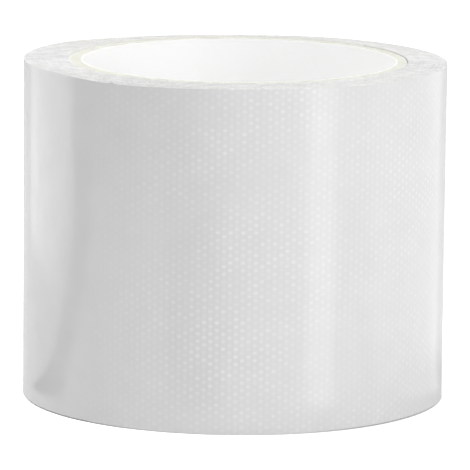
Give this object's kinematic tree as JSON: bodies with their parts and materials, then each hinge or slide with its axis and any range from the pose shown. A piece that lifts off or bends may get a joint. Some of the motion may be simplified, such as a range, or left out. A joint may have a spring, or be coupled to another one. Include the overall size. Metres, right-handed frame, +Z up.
{
  "type": "roll of tarp repair tape",
  "caption": "White coated-cloth repair tape wound in a spiral on a paper core, standing on its end, with a free end that peels off the outside.",
  "frame": {"origin": "on the roll's axis, at the flat end face that it stands on", "axes": "+Z up the axis of the core; +X and +Y are level, and -Y faces the viewer of the picture"},
  "size_m": [0.1004, 0.1005, 0.0805],
  "materials": {
    "liner_paper": "matte",
    "core_board": "matte",
    "wrap_paper": "matte",
    "tape_adhesive": "satin",
    "tape_cloth": "matte",
    "tape_film": "satin"
  },
  "bodies": {
    "roll": {"core_liner": "liner_paper", "core_board_inner": "core_board", "core_board_middle": "core_board", "core_board_outer": "core_board", "core_wrap": "wrap_paper", "wound_adhesive": "tape_adhesive", "wound_cloth": "tape_cloth", "wound_film": "tape_film"},
    "free_end_1": {"lead_adhesive_1": "tape_adhesive", "lead_cloth_1": "tape_cloth", "lead_film_1": "tape_film"},
    "free_end_2": {"lead_adhesive_2": "tape_adhesive", "lead_cloth_2": "tape_cloth", "lead_film_2": "tape_film"},
    "free_end_3": {"lead_adhesive_3": "tape_adhesive", "lead_cloth_3": "tape_cloth", "lead_film_3": "tape_film"},
    "free_end_4": {"lead_adhesive_4": "tape_adhesive", "lead_cloth_4": "tape_cloth", "lead_film_4": "tape_film"},
    "free_end_5": {"lead_adhesive_5": "tape_adhesive", "lead_cloth_5": "tape_cloth", "lead_film_5": "tape_film"},
    "free_end_6": {"lead_adhesive_6": "tape_adhesive", "lead_cloth_6": "tape_cloth", "lead_film_6": "tape_film"},
    "free_end_7": {"lead_adhesive_7": "tape_adhesive", "lead_cloth_7": "tape_cloth", "lead_film_7": "tape_film"},
    "free_end_8": {"lead_adhesive_8": "tape_adhesive", "lead_cloth_8": "tape_cloth", "lead_film_8": "tape_film"}
  },
  "joints": [
    {"name": "peel_1", "type": "hinge", "parent": "roll", "child": "free_end_1", "pos_m": [0.02129, 0.04566, 0.04], "axis": [0, 0, -1], "range_deg": [0, 20]},
    {"name": "peel_2", "type": "hinge", "parent": "free_end_1", "child": "free_end_2", "pos_m": [0.01304, 0.04866, 0.04], "axis": [0, 0, -1], "range_deg": [0, 20]},
    {"name": "peel_3", "type": "hinge", "parent": "free_end_2", "child": "free_end_3", "pos_m": [0.00439, 0.05019, 0.04], "axis": [0, 0, -1], "range_deg": [0, 20]},
    {"name": "peel_4", "type": "hinge", "parent": "free_end_3", "child": "free_end_4", "pos_m": [-0.00439, 0.05019, 0.04], "axis": [0, 0, -1], "range_deg": [0, 20]},
    {"name": "peel_5", "type": "hinge", "parent": "free_end_4", "child": "free_end_5", "pos_m": [-0.01304, 0.04866, 0.04], "axis": [0, 0, -1], "range_deg": [0, 20]},
    {"name": "peel_6", "type": "hinge", "parent": "free_end_5", "child": "free_end_6", "pos_m": [-0.02129, 0.04566, 0.04], "axis": [0, 0, -1], "range_deg": [0, 20]},
    {"name": "peel_7", "type": "hinge", "parent": "free_end_6", "child": "free_end_7", "pos_m": [-0.0289, 0.04127, 0.04], "axis": [0, 0, -1], "range_deg": [0, 20]},
    {"name": "peel_8", "type": "hinge", "parent": "free_end_7", "child": "free_end_8", "pos_m": [-0.03562, 0.03562, 0.04], "axis": [0, 0, -1], "range_deg": [0, 20]}
  ],
  "couplings": [
    {"joint": "peel_2", "follows": "peel_1", "ratio": 1},
    {"joint": "peel_3", "follows": "peel_1", "ratio": 1},
    {"joint": "peel_4", "follows": "peel_1", "ratio": 1},
    {"joint": "peel_5", "follows": "peel_1", "ratio": 1},
    {"joint": "peel_6", "follows": "peel_1", "ratio": 1},
    {"joint": "peel_7", "follows": "peel_1", "ratio": 1},
    {"joint": "peel_8", "follows": "peel_1", "ratio": 1}
  ]
}
